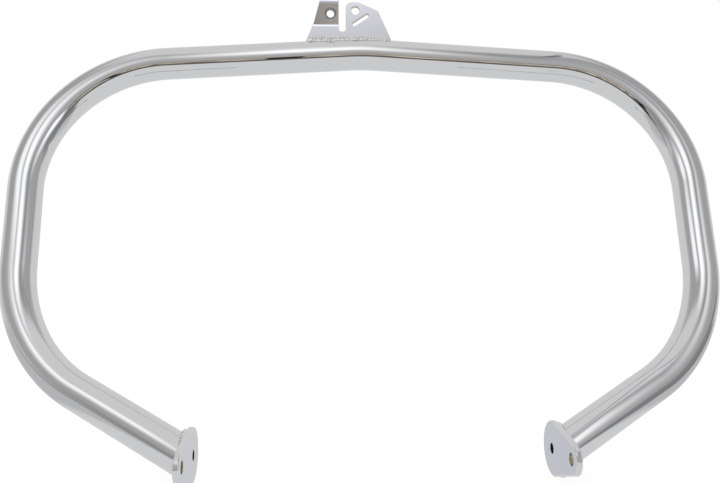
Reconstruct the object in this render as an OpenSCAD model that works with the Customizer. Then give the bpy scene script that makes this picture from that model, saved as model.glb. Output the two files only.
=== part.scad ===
// Motorcycle crash bars: one bent chrome-plated tube with a bolt bracket welded
// on top and a bolt plate welded to each leg.
// Millimetres. +X is the right of the photograph, -Y faces the viewer, +Z is up.
// The origin is the middle of the bolt hole in the bracket's right tab.

/* [Tube] */
// Outside diameter of the tube
tube_od = 31.75; // [25:0.25:38]
// Wall thickness of the tube
tube_wall = 2.4; // [1.5:0.1:4]

/* [Bar shape] */
// Mid-plane to the point where the top bar and a side would meet
upper_half_width = 334; // [300:1:370]
// Drop of that point below the middle of the top bar
upper_drop = 19; // [10:0.5:30]
// Mid-plane to the point where a side and its leg would meet
lower_half_width = 317.5; // [295:0.5:345]
// Drop of that point below the middle of the top bar
lower_drop = 291.5; // [270:0.5:320]
// How far that point lies in front of the top bar
lower_forward = 98; // [60:1:130]
// Drop of a leg's end below the middle of the top bar
leg_end_drop = 369; // [355:1:385]
// How far a leg's end lies in front of the top bar
leg_end_forward = 165; // [140:1:190]
// Centre-line radius of the slight bend in the middle of the top bar
middle_bend_r = 300; // [200:10:400]
// Centre-line radius of the upper corner bends
upper_bend_r = 133; // [110:1:150]
// Centre-line radius of the lower corner bends
lower_bend_r = 143; // [110:1:160]
// How much fuller the tube's radius is in its bends
bend_swell = 0.05; // [0.05:0.01:0.1]

/* [Top bracket] */
// Thickness of the bracket's sheet
bracket_t = 4.8; // [3:0.1:6]
// Height of the bolt hole above the middle of the top bar
bolt_height = 45; // [40:1:60]
// How far the bolt hole lies to the left of the mid-plane
bolt_offset = 7; // [0:1:20]
// Diameter of the bolt hole in the right tab
bolt_hole_d = 8.7; // [6:0.1:10]
// Bracket's foot, from the bolt hole to its left corner
foot_left = 51.5; // [47:0.5:60]
// Bracket's foot, from the bolt hole to its right corner
foot_right = 38; // [32:1:46]
// How far the foot's corners reach down beside the crown of the tube
foot_overlap = 2; // [1:0.5:4]
// Bolt hole to the top edge of the right tab
right_tab_rise = 8.8; // [7:0.1:14]
// Bolt hole to the left edge of the right tab
right_tab_left = 10; // [8:0.5:14]
// Bolt hole to the start of the right tab's sloping shoulder
shoulder_start = 3; // [0:0.5:8]
// Bolt hole to the outer corner of the right tab
shoulder_end = 23.4; // [20:0.2:28]
// Radius at the top left corner of the right tab
tab_corner_r = 6; // [2:0.5:7]
// Radius at the outer corner of the right tab
shoulder_r = 5; // [2:0.5:7]
// Width of the gap between the two tabs
gap_w = 7.5; // [5:0.5:10]
// Bolt hole down to the bottom of that gap
gap_depth = 21.6; // [19:0.2:23]
// Radius in the bottom corners of that gap
gap_corner_r = 2.4; // [1:0.1:2.4]
// Width of the slanted slot
slot_w = 4; // [3:0.1:5]
// Length of the slanted slot between the centres of its ends
slot_length = 16; // [12:0.5:18]
// Angle of the slanted slot
slot_angle = 34; // [20:1:45]
// Middle of the slanted slot, to the right of the bolt hole
slot_x = 5.5; // [4:0.5:8]
// Middle of the slanted slot, below the bolt hole
slot_drop = 9.8; // [9:0.2:12]

/* [Jogged left tab] */
// Bolt hole down to the start of the tab's first bend
jog_start_drop = 14.8; // [14:0.2:17]
// Angle by which the tab leans forward
jog_angle = 13; // [10:1:20]
// Inside radius of both bends
jog_bend_r = 7; // [4:0.5:9]
// How far the tab's lip stands in front of the rest of the bracket
jog_offset = 4.8; // [3.5:0.1:6]
// Height of the lip above the second bend
lip_h = 8; // [5:0.5:14]
// Bolt hole to the tab's left edge at the first bend
tab_left_low = 44.2; // [40:0.2:48]
// Bolt hole to the tab's left edge at the top of the lip
tab_left_high = 35; // [32:0.5:40]
// Radius on the lip's corners
lip_corner_r = 3; // [1:0.5:5]

/* [Weld nut] */
// Bolt hole to the nut's axis
nut_left = 26; // [24:0.5:28]
// Bore of the nut, at the crests of its thread
nut_bore_d = 8; // [5:0.1:9]
// Width of the nut across its flats
nut_flats = 15; // [13:0.5:17]
// Height of the hexagon
nut_h = 8.3; // [5:0.1:12]
// Diameter of the collar that fills the hole in the tab
nut_collar_d = 11.8; // [10.5:0.1:12]
// Gap round the collar
nut_collar_gap = 0.1; // [0.05:0.05:0.3]
// How far the collar's end lies below the tab's front face
nut_collar_recess = 0.5; // [0.2:0.1:1]
// Chamfer at the mouth of the nut's thread
nut_chamfer = 0.8; // [0.4:0.1:1]

/* [End plates] */
// Distance between the plates' inner faces
plate_gap_w = 293; // [270:1:310]
// Thickness of the plates
plate_t = 4.8; // [3:0.1:6]
// Radius of the plate round its rear hole
plate_rear_r = 22.5; // [20:0.5:25]
// Radius of the plate round its front hole
plate_front_r = 12.5; // [10:0.5:16]
// Diameter of the rear hole, which opens into the tube
rear_hole_d = 8.7; // [6:0.1:10]
// Diameter of the front hole
front_hole_d = 9.9; // [7:0.1:12]
// Leg's end to the rear hole, to the back
rear_hole_back = 3.5; // [0:0.5:5]
// Leg's end to the rear hole, upwards
rear_hole_up = 1.5; // [0:0.5:3]
// Distance between the two holes, to the front
hole_pitch = 45.8; // [42:0.2:52]
// How far the front hole lies above the rear hole
hole_rise = 5; // [0:0.5:8]

/* [Weld beads] */
// Height of the bracket's beads above the tube at the mid-plane
bead_up = 0.9; // [0.5:0.1:2]
// How far the bracket's beads reach over the tube from its middle
bead_reach = 9.6; // [8:0.2:11]
// How far the bracket's beads stop short of the corners of its foot
bead_inset = 3.5; // [3:0.1:6]
// Centre of a ripple's arc, as a share of the bead's width below its face
bead_sink = 0.3; // [0.2:0.05:0.5]
// Spacing of the ripples
bead_pitch = 3.2; // [2.8:0.1:4]
// Share by which the ripples differ in size
ripple_change = 0.05; // [0:0.01:0.08]
// Radius of the ripples of the plates' beads
plate_bead_r = 3.4; // [2.5:0.1:4]
// Number of ripples round each leg
plate_bead_count = 34; // [30:1:40]
// How far the ripples' centres stand off the plate and the leg
plate_bead_off = 0.9; // [0.5:0.1:1.5]

/* [Hidden] */
$fn = 96;

chrome = [0.80, 0.81, 0.84];
weld_grey = [0.66, 0.66, 0.68];
// Cuts run past the faces that they go through by this much
clear = 1;
// Straight pieces that stand for one rounded corner
corner_steps = 10;
// Turn between one ripple and the next in the wave that sets their sizes
ripple_turn = 137;

tube_r = tube_od / 2;
tube_inner_r = tube_r - tube_wall;
plate_inner_x = plate_gap_w / 2;
plate_outer_x = plate_inner_x + plate_t;

// Corners of the right half's centre line, from the middle of the top bar
middle = [0, 0, 0];
upper_corner = [upper_half_width, 0, -upper_drop];
lower_corner = [lower_half_width, -lower_forward, -lower_drop];
leg_end = [plate_outer_x, -leg_end_forward, -leg_end_drop];
top_dir = unit(upper_corner - middle);
side_dir = unit(lower_corner - upper_corner);
leg_dir = unit(leg_end - lower_corner);
// The leg is drawn too long by this much and cut off flush with its plate
leg_spare = tube_od;
// Each straight reaches this far into its bends
lap = 0.5;
// One seam line runs along the whole tube, at the back of the top bar
top_seam = [0, 1, 0];
side_seam = carried(top_seam, top_dir, side_dir);
leg_seam = carried(side_seam, side_dir, leg_dir);

// Slope of the top bar's halves, and where its middle bend ends
bar_slope = atan(upper_drop / upper_half_width);
bend_reach = middle_bend_r * sin(bar_slope);
crown_z = bar_z(0) + tube_r;

// The jogged tab in the Y-Z plane: centres of its two bends, and the height of its lip
jog_mid_r = jog_bend_r + bracket_t / 2;
jog_straight = (jog_offset - 2 * jog_mid_r * (1 - cos(jog_angle))) / sin(jog_angle);
jog_turn = [cos(jog_angle), sin(jog_angle)];
jog_low_centre = [-jog_mid_r, -jog_start_drop];
jog_high_centre = jog_low_centre + 2 * jog_mid_r * jog_turn + jog_straight * [-jog_turn[1], jog_turn[0]];
lip_top = jog_high_centre[1] + lip_h;

gap_left = right_tab_left + gap_w;
foot_z = crown_z - bolt_height - foot_overlap;

// Centres of an end plate's holes, in the Y-Z plane, and the angle to its straight edges
rear_hole = [rear_hole_back - leg_end_forward, rear_hole_up - leg_end_drop];
front_hole = rear_hole + [-hole_pitch, hole_rise];
hole_line = atan2(hole_rise, -hole_pitch);
edge_turn = acos((plate_rear_r - plate_front_r) / norm(front_hole - rear_hole));

function unit(v) = v / norm(v);
function turn(a, b) = acos(a * b);
function polar(r, a) = r * [cos(a), sin(a)];

// The direction s, square to a, after it goes round a bend from direction a to direction b
function carried(s, a, b) = s - (s * b) / (1 + a * b) * (a + b);

// Height of the top bar's centre line at x from the mid-plane
function bar_z(x) = abs(x) > bend_reach
    ? -abs(x) * tan(bar_slope)
    : sqrt(middle_bend_r * middle_bend_r - x * x) - middle_bend_r / cos(bar_slope);

// Places X, Y and Z of a shape along three unit vectors, with its origin at o
function axes(x, y, z, o) = [
    [x[0], y[0], z[0], o[0]],
    [x[1], y[1], z[1], o[1]],
    [x[2], y[2], z[2], o[2]],
    [0, 0, 0, 1]
];

// Points of an outline whose corners are [x, y, radius]
function rounded(corners) = [
    for (i = [0 : len(corners) - 1])
        let (n = len(corners), a = corners[(i + n - 1) % n], p = corners[i], b = corners[(i + 1) % n])
            for (q = corner_points([a[0], a[1]], [p[0], p[1]], [b[0], b[1]], p[2])) q
];
function corner_points(a, p, b, r) = r == 0 ? [p] :
    let (u = unit(a - p), v = unit(b - p), half = turn(u, v) / 2)
    let (c = p + unit(u + v) * r / sin(half), s = p + u * r / tan(half) - c, sweep = 180 - 2 * half)
    let (way = cross(u, v) > 0 ? -1 : 1, start = atan2(s[1], s[0]))
    [for (k = [0 : corner_steps]) c + polar(r, start + way * sweep * k / corner_steps)];

// From the bar's own frame, whose origin is the corner in the middle of the top bar
module from_bar() {
    translate([bolt_offset, 0, -bolt_height]) children();
}

module both_sides() {
    children();
    mirror([1, 0, 0]) children();
}

// A rod of radius r from a to b, whose seam is on the side that x points to
module rod(a, b, r, x) {
    z = unit(b - a);
    multmatrix(axes(x, cross(z, x), z, a)) cylinder(h = norm(b - a), r = r);
}

// A bend at a corner, from direction a to direction b, on a centre line of radius bend_r.
// Where it starts, its seam is on the side that x points to.
module bend(corner, a, b, bend_r, r, x) {
    outward = unit((a * b) * a - b);
    side = cross(outward, a);
    centre = corner - a * bend_setback(bend_r, a, b) - outward * bend_r;
    multmatrix(axes(outward, a, side, centre))
        rotate_extrude(angle = turn(a, b))
            translate([bend_r, 0]) rotate(atan2(x * side, x * outward)) circle(r + bend_swell);
}
function bend_setback(bend_r, a, b) = bend_r * tan(turn(a, b) / 2);

module top_bar(r) {
    left_dir = [top_dir[0], 0, -top_dir[2]];
    bend(middle, left_dir, top_dir, middle_bend_r, r, top_seam);
    both_sides()
        rod(top_dir * (bend_setback(middle_bend_r, left_dir, top_dir) - lap),
            upper_corner - top_dir * (bend_setback(upper_bend_r, top_dir, side_dir) - lap), r, top_seam);
}

module leg(r) {
    rod(lower_corner + leg_dir * (bend_setback(lower_bend_r, side_dir, leg_dir) - lap),
        leg_end + leg_dir * leg_spare, r, leg_seam);
}

module whole_bar(r) {
    top_bar(r);
    both_sides() {
        bend(upper_corner, top_dir, side_dir, upper_bend_r, r, top_seam);
        rod(upper_corner + side_dir * (bend_setback(upper_bend_r, top_dir, side_dir) - lap),
            lower_corner - side_dir * (bend_setback(lower_bend_r, side_dir, leg_dir) - lap), r, side_seam);
        bend(lower_corner, side_dir, leg_dir, lower_bend_r, r, side_seam);
        leg(r);
    }
}

// The room between the outer faces of the two end plates
module between_plates() {
    size = 4 * tube_od;
    translate([-plate_outer_x, -leg_end_forward - size / 2, -leg_end_drop - size / 2])
        cube([2 * plate_outer_x, size, size]);
}

module guard_tube() {
    color(chrome) from_bar() difference() {
        whole_bar(tube_r);
        whole_bar(tube_inner_r);
        between_plates();
    }
}

// Stands a front outline, drawn in X and Z, on its edge, thickness h, centred on Y
module upright(h) {
    rotate([90, 0, 0]) linear_extrude(height = h, center = true) children();
}

module flat_outline() {
    polygon(rounded([
        [-foot_left, -bolt_height, 0],
        [foot_right, -bolt_height, 0],
        [foot_right, foot_z, 0],
        [shoulder_end, 0, shoulder_r],
        [shoulder_start, right_tab_rise, shoulder_r],
        [-right_tab_left, right_tab_rise, tab_corner_r],
        [-right_tab_left, -gap_depth, gap_corner_r],
        [-gap_left, -gap_depth, gap_corner_r],
        [-gap_left, -jog_start_drop, 0],
        [-tab_left_low, -jog_start_drop, 0],
        [-foot_left, foot_z, 0]
    ]));
}

module tab_outline() {
    polygon(rounded([
        [-tab_left_low, -jog_start_drop, 0],
        [-gap_left, -jog_start_drop, 0],
        [-gap_left, lip_top, lip_corner_r],
        [-tab_left_high, lip_top, lip_corner_r]
    ]));
}

// One face of the jogged tab's sheet, at this distance behind its middle
function jog_face(behind) =
    let (steps = [for (k = [0 : corner_steps]) jog_angle * k / corner_steps])
    concat(
        [for (k = [0 : corner_steps]) jog_low_centre + polar(jog_mid_r + behind, steps[k])],
        [for (k = [corner_steps : -1 : 0]) jog_high_centre - polar(jog_mid_r - behind, steps[k])],
        [[jog_high_centre[0] - jog_mid_r + behind, lip_top]]
    );

// The tab's sheet as a wide strip: bent forward, straight, bent back, then the lip
module jogged_strip() {
    front = jog_face(-bracket_t / 2);
    rear = jog_face(bracket_t / 2);
    last = len(front) - 1;
    translate([-foot_left, 0, 0]) rotate([90, 0, 90]) linear_extrude(height = foot_left)
        polygon(concat(rear, [for (k = [last : -1 : 0]) front[k]]));
}

// A shape on the nut's axis, where Z points to the rear and Z = 0 is the middle of the tab's sheet
module on_nut_axis() {
    hole = (jog_low_centre + jog_high_centre) / 2;
    translate([-nut_left, hole[0], hole[1]]) rotate([jog_angle - 90, 0, 0]) children();
}

module slanted_slot() {
    translate([slot_x, 0, -slot_drop]) rotate([0, -slot_angle, 0]) upright(bracket_t + 2 * clear) {
        square([slot_length, slot_w], center = true);
        for (side = [-1, 1]) translate([side * slot_length / 2, 0]) circle(d = slot_w);
    }
}

module top_bracket() {
    color(chrome) difference() {
        union() {
            upright(bracket_t) flat_outline();
            intersection() {
                jogged_strip();
                upright(foot_left) tab_outline();
            }
        }
        upright(bracket_t + 2 * clear) circle(d = bolt_hole_d);
        slanted_slot();
        on_nut_axis()
            cylinder(h = bracket_t + 2 * clear, d = nut_collar_d + 2 * nut_collar_gap, center = true);
        from_bar() top_bar(tube_r);
    }
}

module bracket_weld_nut() {
    collar_z = nut_collar_recess - bracket_t / 2;
    chamfer_r = nut_bore_d / 2 + nut_chamfer;
    color(chrome) on_nut_axis() difference() {
        union() {
            translate([0, 0, bracket_t / 2]) cylinder(h = nut_h, d = nut_flats / cos(30), $fn = 6);
            translate([0, 0, collar_z]) cylinder(h = bracket_t / 2 - collar_z, d = nut_collar_d);
        }
        translate([0, 0, -bracket_t]) cylinder(h = 2 * bracket_t + nut_h, d = nut_bore_d);
        translate([0, 0, collar_z - clear])
            cylinder(h = nut_chamfer + clear, r1 = chamfer_r + clear, r2 = nut_bore_d / 2);
    }
}

// The plate's outline, drawn in Y and Z: two arcs round the holes and their common tangents
module plate_outline() {
    translate(rear_hole) circle(plate_rear_r);
    translate(front_hole) circle(plate_front_r);
    polygon([
        rear_hole + polar(plate_rear_r, hole_line + edge_turn),
        rear_hole + polar(plate_rear_r, hole_line - edge_turn),
        front_hole + polar(plate_front_r, hole_line - edge_turn),
        front_hole + polar(plate_front_r, hole_line + edge_turn)
    ]);
}

module end_plate() {
    translate([plate_inner_x, 0, 0]) rotate([90, 0, 90]) linear_extrude(height = plate_t) difference() {
        plate_outline();
        translate(rear_hole) circle(d = rear_hole_d);
        translate(front_hole) circle(d = front_hole_d);
    }
}

module left_end_plate() {
    color(chrome) from_bar() mirror([1, 0, 0]) end_plate();
}

module right_end_plate() {
    color(chrome) from_bar() end_plate();
}

// One ripple of a bead; ripples differ a little in size, in turn
module ripple(place, r, i, tip = 0) {
    translate(place) rotate([0, tip, 0]) sphere(r * (1 + ripple_change * sin(ripple_turn * i)), $fn = 64);
}

// The bead in the corner between the bracket's front face and the top of the tube. Its section
// runs from a, on the sheet, to b, on the tube, and swells out between them.
module bracket_bead() {
    bead_left = -foot_left - bolt_offset + bead_inset;
    bead_right = foot_right - bolt_offset - bead_inset;
    count = ceil((bead_right - bead_left) / bead_pitch);
    difference() {
        for (i = [0 : count]) {
            x = bead_left + (bead_right - bead_left) * i / count;
            a = [-bracket_t / 2, crown_z + bead_up];
            b = [-bead_reach, bar_z(x) + sqrt(tube_r * tube_r - bead_reach * bead_reach)];
            chord = b - a;
            centre = (a + b) / 2 + bead_sink * [-chord[1], chord[0]];
            ripple([x, centre[0], centre[1]], norm(chord) * norm([0.5, bead_sink]), i);
        }
        translate([-upper_half_width / 2, -bracket_t / 2, 0])
            cube([upper_half_width, bracket_t, bolt_height]);
        both_sides() rod(-top_dir * bead_pitch, upper_corner / 2, tube_r + bend_swell, top_seam);
    }
}

module bracket_front_weld() {
    color(weld_grey) from_bar() bracket_bead();
}

module bracket_rear_weld() {
    color(weld_grey) from_bar() mirror([0, 1, 0]) bracket_bead();
}

// The bead round the leg's slanting end, an ellipse on the plate's outer face
module plate_bead() {
    long_axis = unit([0, leg_dir[1], leg_dir[2]]);
    short_axis = cross([1, 0, 0], long_axis);
    long_r = tube_r / abs(leg_dir[0]) + plate_bead_off;
    short_r = tube_r + plate_bead_off;
    difference() {
        for (i = [0 : plate_bead_count - 1]) {
            a = 360 * i / plate_bead_count;
            out = long_r * cos(a) * long_axis + short_r * sin(a) * short_axis;
            ripple(leg_end + out + [plate_bead_off, 0, 0], plate_bead_r, i, 90);
        }
        between_plates();
        leg(tube_r);
    }
}

module left_plate_weld() {
    color(weld_grey) from_bar() mirror([1, 0, 0]) plate_bead();
}

module right_plate_weld() {
    color(weld_grey) from_bar() plate_bead();
}

guard_tube();
top_bracket();
bracket_weld_nut();
left_end_plate();
right_end_plate();
bracket_front_weld();
bracket_rear_weld();
left_plate_weld();
right_plate_weld();
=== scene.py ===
"""Motorcycle crash bars: chrome-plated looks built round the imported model.

Everything is in metres in the part's own frame: the origin is the middle of the bolt hole in the
bracket's right tab, +X is the right of the picture, -Y faces the camera and +Z is up.
"""
import math

import bmesh
import bpy
from bpy.props import FloatProperty, FloatVectorProperty, IntProperty, PointerProperty, StringProperty
from mathutils import Matrix, Vector, noise
from mathutils.geometry import tessellate_polygon


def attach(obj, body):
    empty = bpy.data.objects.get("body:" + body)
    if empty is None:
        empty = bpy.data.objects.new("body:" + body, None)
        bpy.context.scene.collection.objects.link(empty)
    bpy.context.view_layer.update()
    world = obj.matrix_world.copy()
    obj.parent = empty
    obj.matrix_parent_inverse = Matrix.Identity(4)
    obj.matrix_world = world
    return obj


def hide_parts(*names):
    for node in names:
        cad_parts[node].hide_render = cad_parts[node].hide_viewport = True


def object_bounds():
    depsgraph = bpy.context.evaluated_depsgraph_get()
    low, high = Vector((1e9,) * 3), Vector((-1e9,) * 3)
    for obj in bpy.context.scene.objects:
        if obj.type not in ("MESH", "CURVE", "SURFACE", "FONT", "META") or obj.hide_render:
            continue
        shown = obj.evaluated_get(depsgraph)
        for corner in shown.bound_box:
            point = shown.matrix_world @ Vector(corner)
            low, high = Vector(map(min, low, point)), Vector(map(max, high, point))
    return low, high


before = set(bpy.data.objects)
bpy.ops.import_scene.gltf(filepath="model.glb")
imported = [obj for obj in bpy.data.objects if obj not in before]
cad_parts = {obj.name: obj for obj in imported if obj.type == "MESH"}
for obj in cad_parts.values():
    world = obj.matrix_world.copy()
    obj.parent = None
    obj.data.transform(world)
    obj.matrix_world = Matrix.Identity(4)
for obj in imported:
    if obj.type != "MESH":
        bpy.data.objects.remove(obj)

CAD_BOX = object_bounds()

bl_info = {
    "name": "Crash bars",
    "version": (1, 0, 0),
    "blender": (4, 5, 0),
    "location": "View3D > Sidebar > Crash bars",
    "description": "Bent chrome-plated engine guard with its bracket, bolt plates and weld beads",
    "category": "Add Mesh",
}

MM = 0.001
X, Y, Z = Vector((1, 0, 0)), Vector((0, 1, 0)), Vector((0, 0, 1))


def labelled(kind, rows, **common):
    """Properties of one kind, each from its value and what it is. Its label is its name in plain words."""
    return {
        name: kind(name=name.replace("_", " ").capitalize(), description=words, default=value, **common)
        for name, (value, words) in rows.items()
    }


def lengths(**rows):
    """Sizes of the object. They are kept in metres and given here in millimetres."""
    rows = {name: (value * MM, words) for name, (value, words) in rows.items()}
    return labelled(FloatProperty, rows, min=0, precision=5, subtype="DISTANCE", unit="LENGTH")


def angles(**rows):
    """Angles. They are kept in radians and given here in degrees."""
    rows = {name: (math.radians(value), words) for name, (value, words) in rows.items()}
    return labelled(FloatProperty, rows, subtype="ANGLE", unit="ROTATION")


def shares(**rows):
    """Plain numbers, such as shares of a size."""
    return labelled(FloatProperty, rows, min=0)


def colours(**rows):
    """Colours in sRGB, as hex codes."""
    return labelled(StringProperty, rows)


class TubeSizes(bpy.types.PropertyGroup):
    __annotations__ = lengths(
        outside=(31.75, "Outside diameter of the tube"),
        wall=(2.4, "Wall thickness of the tube"),
        upper_half_width=(334, "Mid-plane to the corner of the top bar and a side"),
        upper_drop=(19, "Drop of that corner below the middle of the top bar"),
        lower_half_width=(317.5, "Mid-plane to the corner of a side and its leg"),
        lower_drop=(291.5, "Drop of that corner below the middle of the top bar"),
        lower_forward=(98, "How far that corner lies in front of the top bar"),
        end_drop=(369, "Drop of a leg's end below the middle of the top bar"),
        end_forward=(165, "How far a leg's end lies in front of the top bar"),
        middle_bend=(300, "Centre-line radius of the bend in the middle of the top bar"),
        upper_bend=(133, "Centre-line radius of the upper corner bends"),
        lower_bend=(143, "Centre-line radius of the lower corner bends"),
        step=(2.5, "Length of a bend between one ring of points and the next"),
    )
    sides: IntProperty(name="Sides", description="Faces round the tube", default=96, min=24)


class BracketSizes(bpy.types.PropertyGroup):
    __annotations__ = lengths(
        thickness=(4.8, "Thickness of the bracket's sheet"),
        edge=(0.45, "Radius that grinding and plating leave on the sheet's edges"),
        hole_edge=(0.45, "Radius that deburring leaves on the edges of the holes"),
        bolt_height=(45, "Bolt hole above the middle of the top bar"),
        bolt_offset=(7, "Bolt hole to the left of the mid-plane"),
        bolt_hole=(8.7, "Diameter of the bolt hole in the right tab"),
        foot_left=(51.5, "Bolt hole to the left end of the foot"),
        foot_right=(38, "Bolt hole to the right end of the foot"),
        foot_overlap=(2, "How far the foot reaches below the crown of the tube"),
        foot_depth=(0.7, "How deep the foot stays in the tube's wall where the crown falls"),
        foot_corner=(0.8, "Radius of the foot's left corner"),
        tab_left=(10, "Bolt hole to the left edge of the right tab"),
        tab_rise=(8.8, "Bolt hole to the top of the right tab"),
        tab_corner=(6, "Radius of the right tab's top left corner"),
        shoulder_start=(3, "Bolt hole to where the top starts to slope down"),
        shoulder_end=(23.4, "Bolt hole to where the slope reaches its height"),
        shoulder_corner=(5, "Radius of both corners of the slope"),
        gap_width=(7.5, "Width of the gap between the tabs"),
        gap_depth=(21.6, "Bolt hole down to the bottom of the gap"),
        gap_corner=(2.4, "Radius of the corners at the bottom of the gap"),
        slot_length=(20, "Length of the slot, its round ends included"),
        slot_width=(4, "Width of the slot in the right tab"),
        slot_right=(5.5, "Bolt hole to the middle of the slot, to the right"),
        slot_drop=(9.8, "Bolt hole down to the middle of the slot"),
        left_tab_low=(44.2, "Bolt hole to the left tab's edge at its first bend"),
        left_tab_high=(35, "Bolt hole to the left tab's edge at its lip"),
        waist_corner=(8, "Radius of the corner between the foot and the left tab"),
        lip_corner=(3, "Radius of the corners of the lip"),
        lip=(8, "Height of the lip above the second bend"),
        jog_radius=(7, "Inside radius of the left tab's two bends"),
        jog_offset=(4.8, "How far the lip stands in front of the rest of the bracket"),
        jog_start=(14.8, "Bolt hole down to the start of the first bend"),
        press_depth=(0.19, "Depth of the mark that the press leaves beside each bend"),
        press_width=(2.2, "Width of that mark"),
    ) | angles(
        slot_angle=(34, "How far the slot rises to the right"),
        jog_angle=(13, "Angle by which the left tab leans forward"),
    )


class NutSizes(bpy.types.PropertyGroup):
    __annotations__ = lengths(
        left=(26, "Bolt hole to the nut's axis"),
        flats=(15, "Width of the hexagon across its flats"),
        height=(8.3, "Height of the hexagon behind the sheet"),
        chamfer=(1.2, "Height of the cone that takes the hexagon's rear corners off"),
        edge=(0.25, "Size of the break on the other edges"),
        collar=(11.8, "Diameter of the collar in the sheet's hole"),
        collar_gap=(0.1, "Gap between the collar and the sheet's hole"),
        collar_recess=(0.5, "How far the collar stops behind the sheet's front"),
        bore=(8, "Diameter of the thread at its crests"),
        mouth=(0.8, "Size of the countersink at both ends of the thread"),
        pitch=(1.25, "Pitch of the thread"),
        thread_depth=(0.7, "Depth of the thread"),
    )


class PlateSizes(bpy.types.PropertyGroup):
    __annotations__ = lengths(
        gap=(293, "Distance between the plates' inner faces"),
        thickness=(4.8, "Thickness of the plates"),
        rear_radius=(22.5, "Radius of the plate round its rear hole"),
        front_radius=(12.5, "Radius of the plate round its front hole"),
        rear_hole=(8.7, "Diameter of the rear hole, which opens into the tube"),
        front_hole=(9.9, "Diameter of the front hole"),
        rear_back=(3.5, "Leg's end to the rear hole, to the back"),
        rear_up=(1.5, "Leg's end to the rear hole, upwards"),
        pitch=(45.8, "Distance between the two holes, to the front"),
        rise=(5, "How far the front hole lies above the rear hole"),
        edge=(1.3, "Radius that grinding and plating leave on the plate's edges"),
        hole_edge=(0.3, "Radius that deburring leaves on the edges of the holes"),
    )


class WeldSizes(bpy.types.PropertyGroup):
    __annotations__ = lengths(
        reach=(9.6, "How far the bracket's beads reach over the tube from its middle"),
        up=(0.9, "Height of the bracket's beads above the crown of the tube"),
        inset=(0.4, "How far the bracket's beads stop short of the foot's ends"),
        taper=(4, "Length over which their ends round off"),
        pitch=(3.2, "Spacing of their ripples"),
        ripple=(0.5, "Height of their ripples"),
        leg_size=(3.4, "Mean width on the plate of the beads round the legs"),
        leg_change=(0.9, "How much wider they are on top of the leg, and narrower below"),
        leg_overhang=(0.4, "How much wider they are on the leg than on the plate"),
        leg_pitch=(3.4, "Spacing of their ripples"),
        leg_ripple=(0.55, "Height of their ripples"),
        root=(1.2, "Depth of a bead's root in the metal"),
        toe=(0.15, "Depth of a bead's toes in the metal"),
    ) | shares(
        swell=(0.3, "Centre of their arc below their face, as a share of their width"),
        leg_swell=(0.18, "Centre of their arc, as a share of their two widths"),
    )


class FinishColours(bpy.types.PropertyGroup):
    __annotations__ = colours(
        chrome=("#E6E7E9", "Polished chrome plate on the tube"),
        # the bracket's chrome is lighter and bluer than the tube's though it is the same plate: a painted
        # brighter reflection
        bracket_chrome=("#EEEFF8", "Chrome plate on the bracket"),
        plate_chrome=("#D3D6DF", "Chrome plate on the end plates and the nut"),
        weld_chrome=("#F2F1EF", "Chrome plate on the weld beads"),
        weld_specks=("#5C4F3E", "Specks on the weld beads, where the plating is thin"),
        hole_nickel=("#C6BBA8", "Nickel in the holes, where the chrome is thin"),
        # also on the walls of the plates' rear holes, as painted shade of the dark tube they open into
        bare_steel=("#1F1D1B", "Inside of the tube, where the plating doesn't reach"),
        mill_scale=("#3F3A34", "Lighter patches in there"),
    )


# Materials


def linear(hex_code):
    """A hex colour in sRGB as the linear red, green, blue and alpha that Blender's sockets take."""
    parts = [int(hex_code.lstrip("#")[i : i + 2], 16) / 255 for i in (0, 2, 4)]
    return [c / 12.92 if c <= 0.04045 else ((c + 0.055) / 1.055) ** 2.4 for c in parts] + [1.0]


def per(millimetres):
    """The scale of a pattern whose patches are about this wide."""
    return 1 / (millimetres * MM)


def add_node(tree, kind, links=(), **values):
    """Adds a node. A value names an input or a setting. A link is an input, by name or number, and what feeds
    it: a socket, a node by its first output, or a fixed value."""
    made = tree.nodes.new("ShaderNode" + kind)
    for name, value in values.items():
        socket = made.inputs.get(name.replace("_", " ").title())
        if socket is None:
            setattr(made, name, value)
        else:
            socket.default_value = value
    for name, source in links:
        if isinstance(source, bpy.types.Node):
            source = source.outputs[0]
        if isinstance(source, bpy.types.NodeSocket):
            tree.links.new(source, made.inputs[name])
        else:
            made.inputs[name].default_value = source
    return made


def fresh(name):
    """A new material, and its empty node tree."""
    material = bpy.data.materials.new(name)
    material.use_nodes = True
    material.node_tree.nodes.clear()
    return material, material.node_tree


def polished(name, plate, smooth, waver, depth):
    """Bright chrome plate over nickel on buffed steel: a cool mirror whose image wavers a little where the
    buffing wheel went over it, with a faint haze in patches."""
    material, tree = fresh(name)
    place = add_node(tree, "TexCoord").outputs["Object"]
    # the wheel's own marks are too fine to show, so it is drawn by the slow waver that it leaves
    buffing = add_node(tree, "TexNoise", [("Vector", place)], scale=per(waver), detail=2.0, roughness=0.5)
    haze = add_node(tree, "TexNoise", [("Vector", place)], scale=per(40), detail=4.0, roughness=0.6)
    rough = add_node(
        tree, "MapRange", [("Value", haze)], from_min=0.3, from_max=0.75, to_min=smooth, to_max=smooth * 1.7
    )
    bump = add_node(tree, "Bump", [("Height", buffing)], strength=1.0, distance=depth * MM)
    shader = add_node(
        tree, "BsdfPrincipled", [("Roughness", rough), ("Normal", bump)],
        base_color=linear(plate), metallic=1.0,
    )
    add_node(tree, "OutputMaterial", [("Surface", shader)])
    return material


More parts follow.
